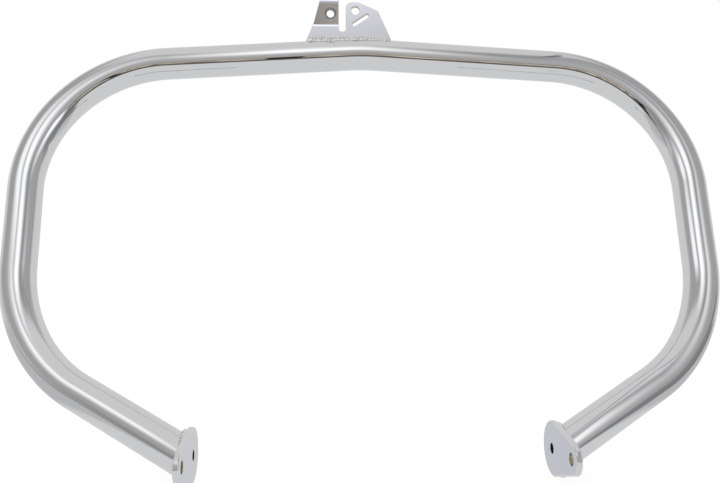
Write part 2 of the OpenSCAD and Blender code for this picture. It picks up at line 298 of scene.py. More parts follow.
def weld_chrome(name, hex_code, speck_code):
    """Chrome plate over an unground weld: bright lumps that each catch a light, and brown specks where the
    plating stays thin between them."""
    material, tree = fresh(name)
    place = add_node(tree, "TexCoord").outputs["Object"]
    lumps = add_node(tree, "TexNoise", [("Vector", place)], scale=per(1.6), detail=3.0, roughness=0.6)
    specks = add_node(tree, "TexNoise", [("Vector", place)], scale=per(1.1), detail=2.0, roughness=0.5)
    thin = add_node(tree, "MapRange", [("Value", specks)], from_min=0.6, from_max=0.68, to_max=0.8)
    mixed = [("Factor", thin), (6, linear(hex_code)), (7, linear(speck_code))]
    tint = add_node(tree, "Mix", mixed, data_type="RGBA").outputs[2]
    bump = add_node(tree, "Bump", [("Height", lumps)], strength=1.0, distance=0.25 * MM)
    shader = add_node(
        tree, "BsdfPrincipled", [("Base Color", tint), ("Normal", bump)], metallic=1.0, roughness=0.1
    )
    add_node(tree, "OutputMaterial", [("Surface", shader)])
    return material


def hole_nickel(name, hex_code):
    """Nickel on drilled walls, where the chrome is thin: warm, and streaked round the hole by the drill."""
    material, tree = fresh(name)
    place = add_node(tree, "TexCoord").outputs["Object"]
    # the drill's marks are too fine to show, so they are drawn as streaks 0.8 mm wide
    streaks = add_node(tree, "TexNoise", [("Vector", place)], scale=per(0.8), detail=3.0, roughness=0.6)
    rough = add_node(
        tree, "MapRange", [("Value", streaks)], from_min=0.3, from_max=0.7, to_min=0.16, to_max=0.34
    )
    shader = add_node(
        tree, "BsdfPrincipled", [("Roughness", rough)], base_color=linear(hex_code), metallic=1.0
    )
    add_node(tree, "OutputMaterial", [("Surface", shader)])
    return material


def bare_steel(name, hex_code, light_code):
    """Drawn steel tube that was never plated inside: dark, dull mill scale. The walls of the plates' rear
    holes take it too, as painted shade.
    """
    material, tree = fresh(name)
    place = add_node(tree, "TexCoord").outputs["Object"]
    scale = add_node(tree, "TexNoise", [("Vector", place)], scale=per(2), detail=6.0, roughness=0.7)
    mixed = [("Factor", scale), (6, linear(hex_code)), (7, linear(light_code))]
    tint = add_node(tree, "Mix", mixed, data_type="RGBA").outputs[2]
    bump = add_node(tree, "Bump", [("Height", scale)], strength=1.0, distance=0.05 * MM)
    shader = add_node(
        tree, "BsdfPrincipled", [("Base Color", tint), ("Normal", bump)], metallic=0.2, roughness=0.7
    )
    add_node(tree, "OutputMaterial", [("Surface", shader)])
    return material


def finish(name):
    """The material of that name, made once. The chrome's waver and its depth are in millimetres."""
    if name in bpy.data.materials:
        return bpy.data.materials[name]
    of = bpy.context.scene.crash_finish
    made = {
        "tube_chrome_plate": lambda: polished(name, of.chrome, smooth=0.035, waver=9, depth=0.006),
        # the bracket's lighter colour is a painted brighter reflection
        "bracket_painted_bright_plate": lambda: polished(name, of.bracket_chrome, smooth=0.12, waver=3, depth=0.01),
        # the plates' rims take the tube's lighter chrome: a painted lighter rim beside the plates' darker
        # faces
        "rim_painted_lighter_plate": lambda: polished(name, of.chrome, smooth=0.035, waver=5, depth=0.006),
        "plate_chrome_plate": lambda: polished(name, of.plate_chrome, smooth=0.035, waver=5, depth=0.006),
        "weld_chrome_plate": lambda: weld_chrome(name, of.weld_chrome, of.weld_specks),
        "nickel_in_hole": lambda: hole_nickel(name, of.hole_nickel),
        "unplated_inside_and_painted_hole_shade": lambda: bare_steel(name, of.bare_steel, of.mill_scale),
    }
    return made[name]()


# Shapes


def piece(name, points, faces, node, materials, normals=None, sharp=None, kinds=None):
    """A mesh that stands for a CAD node and rides on the part's only body. kinds says which of the materials
    each face has."""
    mesh = bpy.data.meshes.new(name)
    mesh.from_pydata([tuple(p) for p in points], [], faces)
    for material in materials:
        mesh.materials.append(finish(material))
    for polygon in mesh.polygons:
        polygon.use_smooth = True
    if kinds is not None:
        mesh.polygons.foreach_set("material_index", kinds)
    mesh.update()
    if sharp is not None:
        mesh.set_sharp_from_angle(angle=math.radians(sharp))
    if normals is not None:
        mesh.normals_split_custom_set_from_vertices([tuple(n) for n in normals])
    made = bpy.data.objects.new(name, mesh)
    bpy.context.scene.collection.objects.link(made)
    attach(made, "root")
    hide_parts(node)
    return made


def carried(s, a, b):
    """The direction s, square to a, after it goes round a bend from direction a to direction b."""
    return s - (s.dot(b) / (1 + a.dot(b))) * (a + b)


def mirrored(v):
    return Vector((-v.x, v.y, v.z))


class Bar:
    """The bar's centre line, from the part's named sizes."""

    def __init__(self, scene):
        t, b, p = scene.crash_tube, scene.crash_bracket, scene.crash_plates
        self.origin = Vector((b.bolt_offset, 0, -b.bolt_height))
        self.radius = t.outside / 2
        self.plate_inner, self.plate_outer = p.gap / 2, p.gap / 2 + p.thickness
        self.upper = Vector((t.upper_half_width, 0, -t.upper_drop))
        self.lower = Vector((t.lower_half_width, -t.lower_forward, -t.lower_drop))
        self.end = Vector((self.plate_outer, -t.end_forward, -t.end_drop))
        self.top_dir = self.upper.normalized()
        self.side_dir = (self.lower - self.upper).normalized()
        self.leg_dir = (self.end - self.lower).normalized()
        self.bends = (t.middle_bend, t.upper_bend, t.lower_bend)

    def bend(self, corner, a, b, radius, start_x, step):
        """Centres, directions and seam directions round a bend, its two ends included."""
        outward = (a.dot(b) * a - b).normalized()
        side = outward.cross(a)
        angle = a.angle(b)
        centre = corner - a * radius * math.tan(angle / 2) - outward * radius
        along, across = start_x.dot(outward), start_x.dot(side)
        count = max(2, round(radius * angle / step))
        for i in range(count + 1):
            turn = angle * i / count
            out = math.cos(turn) * outward + math.sin(turn) * a
            way = math.cos(turn) * a - math.sin(turn) * outward
            yield centre + out * radius, way, along * out + across * side

    def half(self, step):
        """Sections of the right half, from the mid-plane to the leg's end."""
        middle_r, upper_r, lower_r = self.bends
        left_dir = mirrored(-self.top_dir)
        middle = list(self.bend(Vector(), left_dir, self.top_dir, middle_r, Y, step))
        sections = middle[len(middle) // 2 :]
        sections += self.bend(self.upper, self.top_dir, self.side_dir, upper_r, Y, step)
        side_x = carried(Y, self.top_dir, self.side_dir)
        sections += self.bend(self.lower, self.side_dir, self.leg_dir, lower_r, side_x, step)
        return sections

    def top(self, x):
        """Height of the top bar's centre line at x from the mid-plane."""
        slope = math.atan2(-self.upper.z, self.upper.x)
        if abs(x) > self.bends[0] * math.sin(slope):
            return -abs(x) * math.tan(slope)
        return math.sqrt(self.bends[0] ** 2 - x * x) - self.bends[0] / math.cos(slope)


def tube_rings(bar, radius, count, step):
    """Rings of points along the whole tube, from the left leg's end to the right one."""
    rings = []
    for centre, direction, seam in bar.half(step):
        other = direction.cross(seam)
        rings.append([centre + radius * (math.cos(a) * seam + math.sin(a) * other) for a in turns(count)])
    rings.append([p + bar.leg_dir * ((bar.plate_outer - p.x) / bar.leg_dir.x) for p in rings[-1]])
    return [[mirrored(p) for p in ring] for ring in rings[:0:-1]] + rings


def turns(count):
    return [2 * math.pi * i / count for i in range(count)]


def skin(starts, count):
    """The faces between rings of points, each given by the number of its first point."""
    faces = []
    for a, b in zip(starts, starts[1:]):
        faces += [(a + i, a + (i + 1) % count, b + (i + 1) % count, b + i) for i in range(count)]
    return faces


def rounded(corners, steps=8):
    """An outline, counterclockwise, from corners (x, y, radius): its points, each with its outward way."""
    loop = []
    for i, (x, y, radius) in enumerate(corners):
        p = Vector((x, y))
        u = (Vector(corners[i - 1][:2]) - p).normalized()
        v = (Vector(corners[(i + 1) % len(corners)][:2]) - p).normalized()
        way = 1 if v.x * u.y - v.y * u.x > 0 else -1
        middle = (u + v).normalized()
        if not radius:
            loop.append((p, -way * middle))
            continue
        half = u.angle(v) / 2
        centre = p + middle * radius / math.sin(half)
        start, end = p + u * radius / math.tan(half) - centre, p + v * radius / math.tan(half) - centre
        sweep = math.pi - 2 * half
        for k in range(steps + 1):
            turn = sweep * k / steps
            out = (math.sin(sweep - turn) * start + math.sin(turn) * end) / math.sin(sweep)
            loop.append((centre + out, way * out / radius))
    return loop


def ring(centre, radius, count=48):
    """A round outline, as rounded gives it."""
    around = [Vector((math.cos(a), math.sin(a))) for a in turns(count)]
    return [(Vector(centre) + radius * out, out) for out in around]


def hole(loop):
    """An outline turned into the edge of a hole."""
    return [(p, -out) for p, out in reversed(loop)]


def pressed_sheet(loops, thickness, edge, hole_edge, steps=4):
    """A flat sheet with rounded edges, less so round its holes. Its points are (x, depth, height), each with
    its outward direction. Of its faces, those of kind 0 are its two sides, of kind 1 its rim, and of kind 2
    and more the walls of its holes."""
    quarter = [math.pi / 2 * k / steps for k in range(steps + 1)]
    rows = 2 * (steps + 1)
    points, outs, faces, kinds, starts = [], [], [], [], []
    for number, loop in enumerate(loops):
        first, count = len(points), len(loop)
        starts.append(first)
        r = hole_edge if number else edge
        rounding = [(math.sin(t), -math.cos(t)) for t in quarter]
        profile = [(r - r * side, r + r * face - thickness / 2, side, face) for side, face in rounding]
        profile += [(inset, -depth, side, -face) for inset, depth, side, face in reversed(profile)]
        for inset, depth, side, face in profile:
            points += [Vector((p.x - out.x * inset, depth, p.y - out.y * inset)) for p, out in loop]
            outs += [Vector((out.x * side, face, out.y * side)) for p, out in loop]
        for k in range(rows - 1):
            for i in range(count):
                a, b = first + k * count + i, first + k * count + (i + 1) % count
                # a hole's roundings belong to the sides but for the last step of each
                kinds.append(number + 1 if number == 0 or abs(k - steps) < 2 else 0)
                faces.append((a, a + count, b + count, b))
    front = [start + i for start, loop in zip(starts, loops) for i in range(len(loop))]
    to_back = [(rows - 1) * len(loop) for loop in loops for _ in loop]
    corners = [Vector((points[i].x, points[i].z, 0)) for i in front]
    flat = [[Vector((points[start + i].x, points[start + i].z, 0)) for i in range(len(loop))]
            for start, loop in zip(starts, loops)]
    for tri in tessellate_polygon(flat):
        a, b, c = (corners[i] for i in tri)
        if (b - a).cross(c - a).z < 0:
            tri = tri[::-1]
        faces.append([front[i] for i in tri])
        faces.append([front[i] + to_back[i] for i in tri[::-1]])
        kinds += [0, 0]
    return points, outs, faces, kinds


def weld_bead(sections, pitch, ripple, closed, seed):
    """A bead laid along sections of (start, end, centre, root, size): its face is an arc from start to end
    round centre, with a crescent for every pitch, and its root lies inside the metal."""
    across, bow = 14, 0.8
    coarse, fine = 2.6 * MM, 1.1 * MM
    rows, run, last = [], 0.0, None
    for start, end, centre, root, size in sections:
        middle = (start + end) / 2
        run += (middle - last).length if last else 0.0
        last = middle
        a, b = start - centre, end - centre
        angle = a.angle(b)
        row = []
        for k in range(across + 1):
            v = k / across
            out = (math.sin(angle * (1 - v)) * a + math.sin(angle * v) * b) / math.sin(angle)
            p = centre + out
            phase = 2 * math.pi * (run / pitch + (2 * v - 1) ** 2 * bow)
            wave = 0.5 * math.cos(phase) + 0.25 * math.cos(2 * phase)
            lumps = noise.noise(p / coarse + Vector((seed, 0, 0)))
            lumps += 0.5 * noise.noise(p / fine + Vector((0, seed, 0)))
            rise = ripple * (wave + 0.9 * lumps) * math.sin(math.pi * v) ** 0.5
            row.append(root + (p + out.normalized() * rise - root) * size)
        rows.append(row + [root])
    count = across + 2
    points = [p for row in rows for p in row]
    starts = list(range(0, len(points), count))
    faces = skin(starts + [0] if closed else starts, count)
    if not closed:
        faces += [tuple(range(count))[::-1], tuple((len(rows) - 1) * count + k for k in range(count))]
    return points, faces


class Jog:
    """The left tab's path: bent forward, straight, bent back, then the lip. It leans to -Y."""

    def __init__(self, sizes):
        self.angle, self.radius = sizes.jog_angle, sizes.jog_radius + sizes.thickness / 2
        self.arc = self.angle * self.radius
        in_bends = 2 * self.radius * (1 - math.cos(self.angle))
        self.straight = (sizes.jog_offset - in_bends) / math.sin(self.angle)
        self.height = 2 * self.arc + self.straight + sizes.lip
        self.nut = self.arc + self.straight / 2
        steps = 8
        self.cuts = [self.arc * k / steps for k in range(steps + 1)]
        self.cuts += [self.arc + self.straight + self.arc * k / steps for k in range(steps + 1)]
        self.set_width, self.set_depth = sizes.press_width, sizes.press_depth
        for start in (-self.set_width, 2 * self.arc + self.straight):
            self.cuts += [start + self.set_width * k / steps for k in range(1, steps)]
        self.cuts.append(-self.set_width)

    def press_mark(self, run):
        """How far back the press leaves the sheet beside its bends, and the slope there. Each mark mirrors
        the light above."""
        back = slope = 0.0
        for start, width, depth in (
            (-self.set_width, self.set_width, self.set_depth),
            (0, self.arc, -self.set_depth),
            (2 * self.arc + self.straight, self.set_width, self.set_depth),
        ):
            t = min(max((run - start) / width, 0), 1)
            back += depth * (t - math.sin(2 * math.pi * t) / (2 * math.pi))
            slope += depth / width * (1 - math.cos(2 * math.pi * t))
        return back, slope

    def at(self, run):
        """Where the middle of the sheet is, in Y and Z, and its lean, at this length from the first bend's
        start."""
        lean = max(min(run, self.arc), 0) / self.radius
        place = Vector((self.radius * (math.cos(lean) - 1), self.radius * math.sin(lean) + min(run, 0)))
        rest = run - self.arc
        if rest > 0:
            place += min(rest, self.straight) * Vector((-math.sin(self.angle), math.cos(self.angle)))
        rest -= self.straight
        if rest > 0:
            lean = self.angle - min(rest, self.arc) / self.radius
            turned = Vector((math.cos(self.angle) - math.cos(lean), math.sin(self.angle) - math.sin(lean)))
            place += self.radius * turned
        if rest > self.arc:
            place += Vector((0, rest - self.arc))
        back, slope = self.press_mark(run)
        return place + Vector((back, 0)), lean - math.atan(slope)

    def bent(self, p, out, low):
        """A point of the flat sheet and its outward direction, moved to the bent tab."""
        place, lean = self.at(p.z - low)
        to_rear, upward = Vector((math.cos(lean), math.sin(lean))), Vector((-math.sin(lean), math.cos(lean)))
        moved = place + to_rear * p.y
        turned = to_rear * out.y + upward * out.z
        return Vector((p.x, moved.x, low + moved.y)), Vector((out.x, turned.x, turned.y))

    def frame(self, bracket, left):
        """Stands the nut's axis square to the tab, with its Z to the rear."""
        place, lean = self.at(self.nut)
        where = Matrix.Translation((-left, place.x, place.y - bracket.jog_start))
        return where @ Matrix.Rotation(lean - math.pi / 2, 4, "X")


class CRASHBARS_OT_tube(bpy.types.Operator):
    """Build the bent hollow tube, open behind both plates"""

    bl_idname = "crashbars.tube"
    bl_label = "Bent tube"

    def execute(self, context):
        sizes, bar = context.scene.crash_tube, Bar(context.scene)
        count = sizes.sides
        points, faces, kinds, ends = [], [], [], []
        for radius, inside in ((bar.radius, False), (bar.radius - sizes.wall, True)):
            rings = tube_rings(bar, radius, count, sizes.step)
            first = len(points)
            points += [bar.origin + p for ring in rings for p in ring]
            starts = list(range(first, len(points), count))
            ends.append((starts[0], starts[-1]))
            wall = skin(starts, count)
            faces += [quad[::-1] for quad in wall] if inside else wall
            kinds += [int(inside)] * len(wall)
        left, right = (skin(pair, count) for pair in zip(*ends))
        faces += [quad[::-1] for quad in left] + right
        kinds += [1] * 2 * count
        materials = ["tube_chrome_plate", "unplated_inside_and_painted_hole_shade"]
        piece("bent_tube", points, faces, "guard_tube", materials, sharp=40, kinds=kinds)
        return {"FINISHED"}


class CRASHBARS_OT_bracket(bpy.types.Operator):
    """Build the bolt bracket on the top bar: a flat right tab and a left tab jogged forward"""

    bl_idname = "crashbars.bracket"
    bl_label = "Bracket"

    def outline(self, sizes, bar, low, top):
        """The bracket's outline as corners (x, height, radius), before the left tab is bent."""
        # properties come back in single precision, so these are rounded to keep the foot's points on one line
        stored = (-sizes.foot_left, sizes.foot_right, sizes.foot_overlap, sizes.foot_depth)
        left, right, overlap, depth = (round(value, 7) for value in stored)
        foot = bar.top(0) + bar.radius - overlap + bar.origin.z
        # the foot ends inside the tube's wall, and follows the crown where that falls away
        steps, hair, corners = 16, 0.02 * MM, []
        for k in range(steps + 1):
            x = left + (right - left) * k / steps
            crown = bar.top(x - bar.origin.x) + bar.radius + bar.origin.z
            corners.append((x, min(foot - hair, crown - depth), 0))
        gap_left = -sizes.tab_left - sizes.gap_width
        return corners + [
            (right, foot, 0),
            (sizes.shoulder_end, 0, sizes.shoulder_corner),
            (sizes.shoulder_start, sizes.tab_rise, sizes.shoulder_corner),
            (-sizes.tab_left, sizes.tab_rise, sizes.tab_corner),
            (-sizes.tab_left, -sizes.gap_depth, sizes.gap_corner),
            (gap_left, -sizes.gap_depth, sizes.gap_corner),
            (gap_left, top, sizes.lip_corner),
            (-sizes.left_tab_high, top, sizes.lip_corner),
            (-sizes.left_tab_low, low, sizes.waist_corner),
            (left, foot, sizes.foot_corner),
        ]

    def slot(self, sizes):
        """The outline of the slot. Its corners are a little less than half as round as it is wide, so that
        they don't meet."""
        x, y = sizes.slot_length / 2, sizes.slot_width / 2
        corner = 0.98 * y
        flat = rounded([(-x, -y, corner), (x, -y, corner), (x, y, corner), (-x, y, corner)])
        turn = Matrix.Rotation(sizes.slot_angle, 2)
        middle = Vector((sizes.slot_right, -sizes.slot_drop))
        return [(turn @ p + middle, turn @ out) for p, out in flat]

    def execute(self, context):
        sizes, nut, bar = context.scene.crash_bracket, context.scene.crash_nut, Bar(context.scene)
        low, jog = -sizes.jog_start, Jog(sizes)
        nut_hole = ring((-nut.left, low + jog.nut), nut.collar / 2 + nut.collar_gap)
        bolt_hole = ring((0, 0), sizes.bolt_hole / 2)
        outline = rounded(self.outline(sizes, bar, low, low + jog.height))
        loops = [outline, hole(bolt_hole), hole(self.slot(sizes)), hole(nut_hole)]
        points, outs, faces, kinds = pressed_sheet(loops, sizes.thickness, sizes.edge, sizes.hole_edge)
        bm = bmesh.new()
        out_layer = bm.verts.layers.float_vector.new("out")
        for p, out in zip(points, outs):
            vert = bm.verts.new(p)
            vert[out_layer] = out
        bm.verts.ensure_lookup_table()
        for face, kind in zip(faces, kinds):
            bm.faces.new([bm.verts[i] for i in face]).material_index = 1 if kind in (2, 3) else 0
        for cut in jog.cuts:
            everything = bm.verts[:] + bm.edges[:] + bm.faces[:]
            bmesh.ops.bisect_plane(bm, geom=everything, plane_co=Z * (low + cut), plane_no=Z)
        bm.verts.ensure_lookup_table()
        bm.verts.index_update()
        gap_middle = -sizes.tab_left - sizes.gap_width / 2
        points, outs = [], []
        for vert in bm.verts:
            p, out = vert.co.copy(), vert[out_layer].copy()
            if p.x < gap_middle and p.z > low - sizes.press_width:
                p, out = jog.bent(p, out, low)
            points.append(p)
            outs.append(out.normalized())
        faces = [[v.index for v in f.verts] for f in bm.faces]
        kinds = [f.material_index for f in bm.faces]
        bm.free()
        materials = ["bracket_painted_bright_plate", "nickel_in_hole"]
        piece(
            "bolt_bracket", points, faces, "top_bracket", materials, normals=outs, kinds=kinds
        )
        return {"FINISHED"}


class CRASHBARS_OT_nut(bpy.types.Operator):
    """Build the weld nut behind the left tab, with its collar in the tab's hole and its thread"""

    bl_idname = "crashbars.nut"
    bl_label = "Weld nut"

    def execute(self, context):
        sizes, bracket = context.scene.crash_nut, context.scene.crash_bracket
        half, edge, chamfer = bracket.thickness / 2, sizes.edge, sizes.chamfer
        flats, bore = sizes.flats / 2, sizes.bore / 2
        front, shoulder, rear = sizes.collar_recess - half, half, half + sizes.height
        # the cone on the rear corners starts just inside the flats and leans by 30 degrees
        cone, slope = 0.97 * flats, 1.75

        def hexagon(angle, z):
            wide = flats / math.cos((angle + math.pi / 6) % (math.pi / 3) - math.pi / 6)
            return min(wide, cone + (rear - z) * slope)

        def collar(angle, z):
            return sizes.collar / 2

        def collar_front(angle, z):
            return sizes.collar / 2 - edge

        def thread(angle, z):
            # full depth over a fifth of the pitch, with straight flanks up to a sharp crest
            phase = (z / sizes.pitch - angle / (2 * math.pi)) % 1
            groove = bore + sizes.thread_depth * max(0.0, min(1.0, 1.25 - 2.5 * abs(phase - 0.5)))
            return max(groove, bore + sizes.mouth - (z - front), bore + sizes.mouth - (rear - z))

        around, seat = 120, shoulder + 0.01 * MM
        rows = [(thread, front), (collar_front, front), (collar, front + edge), (collar, seat)]
        rows += [(hexagon, seat), (hexagon, shoulder + edge)]
        chamfer_steps = 12
        rows += [(hexagon, rear - chamfer + chamfer * k / chamfer_steps) for k in range(chamfer_steps + 1)]
        steps_per_turn = 10
        steps = math.ceil((rear - front) / sizes.pitch * steps_per_turn)
        rows += [(thread, rear - (rear - front) * k / steps) for k in range(steps)]
        axis = Jog(bracket).frame(bracket, sizes.left)
        points = []
        for radius, z in rows:
            for a in turns(around):
                points.append(axis @ Vector((radius(a, z) * math.cos(a), radius(a, z) * math.sin(a), z)))
        faces = skin([*range(0, len(points), around), 0], around)
        piece("weld_nut", points, faces, "bracket_weld_nut", ["plate_chrome_plate"], sharp=32)
        return {"FINISHED"}


class CRASHBARS_OT_plates(bpy.types.Operator):
    """Build the two bolt plates on the ends of the legs"""

    bl_idname = "crashbars.plates"
    bl_label = "End plates"

    def execute(self, context):
        sizes, bar = context.scene.crash_plates, Bar(context.scene)
        rear = Vector((bar.end.y + sizes.rear_back, bar.end.z + sizes.rear_up))
        front = rear + Vector((-sizes.pitch, sizes.rise))
        line = math.atan2(sizes.rise, -sizes.pitch)
        spread = math.acos((sizes.rear_radius - sizes.front_radius) / (front - rear).length)
        loop = []
        for centre, radius, start, end in (
            (rear, sizes.rear_radius, line + spread - 2 * math.pi, line - spread),
            (front, sizes.front_radius, line - spread, line + spread),
        ):
            count = 72
            for k in range(count + 1):
                a = start + (end - start) * k / count
                out = Vector((math.cos(a), math.sin(a)))
                loop.append((centre + radius * out, out))
        # the rear hole's wall takes the tube's dark bare steel: painted shade of the dark tube it opens into
        loops = [loop, hole(ring(rear, sizes.rear_hole / 2)), hole(ring(front, sizes.front_hole / 2))]
        points, outs, faces, kinds = pressed_sheet(loops, sizes.thickness, sizes.edge, sizes.hole_edge)
        middle = (bar.plate_inner + bar.plate_outer) / 2
        for side, name, node in (
            (1, "right_bolt_plate", "right_end_plate"),
            (-1, "left_bolt_plate", "left_end_plate"),
        ):
            # the sheet is drawn with the plate's Y as its x and its depth towards the mid-plane
            placed = [bar.origin + Vector((side * (middle - p.y), p.x, p.z)) for p in points]
            facing = [Vector((-side * n.y, n.x, n.z)) for n in outs]
            shown = [f[::-1] for f in faces] if side < 0 else faces
            # the rims' lighter chrome is painted light, on the same plate as the faces
            layers = ["plate_chrome_plate", "rim_painted_lighter_plate", "unplated_inside_and_painted_hole_shade", "nickel_in_hole"]
            piece(name, placed, shown, node, layers, normals=facing, kinds=kinds)
        return {"FINISHED"}


class CRASHBARS_OT_welds(bpy.types.Operator):
    """Lay the weld beads along the bracket's foot and round both legs"""

    bl_idname = "crashbars.welds"
    bl_label = "Weld beads"

    def execute(self, context):
        self.lay_foot_beads(context.scene.crash_welds, context.scene.crash_bracket, Bar(context.scene))
        self.lay_leg_beads(context.scene.crash_welds, Bar(context.scene))
        return {"FINISHED"}

    def lay_foot_beads(self, sizes, bracket, bar):
        # the bead starts just inside the bracket's face
        face, crown, reach = bracket.thickness / 2 * 0.9, bar.top(0) + bar.radius, sizes.reach
        left = -bracket.foot_left - bar.origin.x + sizes.inset
        right = bracket.foot_right - bar.origin.x - sizes.inset
        for side, name, node in (
            (-1, "front_bead", "bracket_front_weld"),
            (1, "rear_bead", "bracket_rear_weld"),
        ):
            sections, count = [], 260
            for i in range(count + 1):
                run = (right - left) * i / count
                x = left + run
                from_end = min(run, right - left - run) / sizes.taper
                size = 1.0 if from_end >= 1 else max(0.05, math.sqrt(1 - (1 - from_end) ** 2))
                a = Vector((face, crown + sizes.up))
                b = Vector((reach, bar.top(x) + math.sqrt(bar.radius**2 - reach**2) - sizes.toe))
                chord = b - a
                centre = (a + b) / 2 + sizes.swell * Vector((chord.y, -chord.x))
                root = Vector((sizes.root, bar.top(x) + bar.radius - sizes.root))
                a, b, centre, root = (bar.origin + Vector((x, side * p.x, p.y)) for p in (a, b, centre, root))
                sections.append((a, b, centre, root, size))
            points, faces = weld_bead(sections, sizes.pitch, sizes.ripple, closed=False, seed=3.7 + side)
            if side > 0:
                faces = [f[::-1] for f in faces]
            piece(name, points, faces, node, ["weld_chrome_plate"])

    def lay_leg_beads(self, sizes, bar):
        along = Vector((0, bar.leg_dir.y, bar.leg_dir.z)).normalized()
        across = X.cross(along)
        long_r, up = bar.radius / abs(bar.leg_dir.x), -bar.leg_dir / abs(bar.leg_dir.x)
        sections, count = [], 340
        for a in turns(count):
            edge = bar.end + long_r * math.cos(a) * along + bar.radius * math.sin(a) * across
            out = (math.cos(a) / long_r * along + math.sin(a) / bar.radius * across).normalized()
            # the bead is fullest over the leg, where the plate's rim leaves it most room
            width = sizes.leg_size + sizes.leg_change * (edge - bar.end).z / bar.radius
            start = edge + out * width - X * sizes.toe
            end = edge + up * (width + sizes.leg_overhang) - out * sizes.toe
            centre = edge + (start + end - 2 * edge) * sizes.leg_swell
            sections.append((start, end, centre, edge - X * sizes.root - out * sizes.root, 1.0))
        points, faces = weld_bead(sections, sizes.leg_pitch, sizes.leg_ripple, closed=True, seed=9.1)
        for side, name, node in (
            (1, "right_leg_bead", "right_plate_weld"),
            (-1, "left_leg_bead", "left_plate_weld"),
        ):
            placed = [bar.origin + (p if side > 0 else mirrored(p)) for p in points]
            shown = faces if side > 0 else [f[::-1] for f in faces]
            piece(name, placed, shown, node, ["weld_chrome_plate"])


# Stage


def zone(tree, *edges):
    """A soft-edged zone, 1 inside and 0 outside. Each edge is a value, where the zone begins and where it is
    full."""
    inside = 1.0
    for value, begins, full in edges:
        ends = {"from_min": begins, "from_max": full}
        edge = add_node(tree, "MapRange", [("Value", value)], interpolation_type="SMOOTHSTEP", **ends)
        inside = add_node(tree, "Math", [(0, edge), (1, inside)], operation="MULTIPLY")
    return inside


def layered(tree, ground, *layers):
    """A value with others laid over it in order. Each layer is its value and the edges of its zone."""
    for value, *edges in layers:
        ground = add_node(tree, "Mix", [("Factor", zone(tree, *edges)), ("A", ground), ("B", value)])
    return ground


def studio_floor(sizes):
    """White table paper. To the camera it is plain white and keeps the object's shadow; polished metal sees
    it as the pale table round the object, with the dark floor and a few things beyond its edges."""
    material, tree = fresh("white_table_paper")
    path = add_node(tree, "LightPath")
    place = add_node(tree, "NewGeometry").outputs["Position"]
    parts = add_node(tree, "SeparateXYZ", [("Vector", place)])
    x, y = parts.outputs["X"], parts.outputs["Y"]
    table_front, soft = sizes.table_front, 0.02
    # the floor beside the table: darker to the right of a slanting edge, and in the left corner at the front
    past = add_node(tree, "Math", [(0, y), (1, 0.2)], operation="ADD", use_clamp=True)
    slanting = add_node(tree, "Math", [(0, past), (1, -3.2), (2, x)], operation="MULTIPLY_ADD")
    beside = layered(
        tree, sizes.room_left,
        (sizes.room_right, (slanting, 0.36, 0.42)),
        (sizes.room_corner, (x, -0.5, -0.6), (y, -0.38, -0.45)),
        (sizes.wall_back, (y, 0.05, 0.6)),
    )
    # the floor in front: a paler far end, things about 15 cm wide, and a black one that leans to the left
    things = add_node(tree, "TexNoise", [("Vector", place)], scale=per(150), detail=2.0)
    leaning = add_node(tree, "Math", [(0, y), (1, -0.28), (2, x)], operation="MULTIPLY_ADD")
    front = layered(
        tree, sizes.room_front,
        (sizes.room_far, (y, -2.8, -3.6)),
        (sizes.things, (y, -1.15, -1.45), (y, -3.2, -2.3), (things, 0.42, 0.56)),
        (sizes.black_thing, (leaning, -0.82, -0.77), (leaning, -0.22, -0.27), (y, -0.95, -1.05)),
    )
    before = ((x, -1.7, -1.2), (x, 1.7, 1.2), (y, table_front + soft, table_front - soft))
    # the pale table, wider towards the camera
    half = layered(tree, sizes.table_half, (sizes.table_half_front, (y, -0.4, -0.45)))
    aside = add_node(tree, "Math", [(0, x)], operation="ABSOLUTE")
    beyond = add_node(tree, "Math", [(0, aside), (1, half)], operation="SUBTRACT")
    table = ((beyond, 0.03, -0.03), (y, table_front - soft, table_front + soft))
    level = layered(tree, beside, (front, *before), (sizes.table, *table))
    warm = [("Factor", zone(tree, *before)), (6, linear("#FFFFFF")), (7, linear("#FFF3E2"))]
    tint = add_node(tree, "Mix", warm, data_type="RGBA").outputs[2]
    seen = add_node(tree, "Emission", [("Strength", level), ("Color", tint)])
    paper = add_node(tree, "BsdfDiffuse", color=linear("#F4F4F2"))
    # half black and half paper keeps a shadow, and the glow lifts the rest of it to white
    black = add_node(tree, "BsdfTransparent", color=(0, 0, 0, 1))
    glow = add_node(tree, "Emission", strength=0.76)
    dim = add_node(tree, "MixShader", [(0, 0.5), (1, black), (2, paper)])
    white = add_node(tree, "AddShader", [(0, dim), (1, glow)])
    metal = add_node(tree, "MixShader", [(0, path.outputs["Is Glossy Ray"]), (1, paper), (2, seen)])
    both = add_node(tree, "MixShader", [(0, path.outputs["Is Camera Ray"]), (1, metal), (2, white)])
    add_node(tree, "OutputMaterial", [("Surface", both)])
    return material


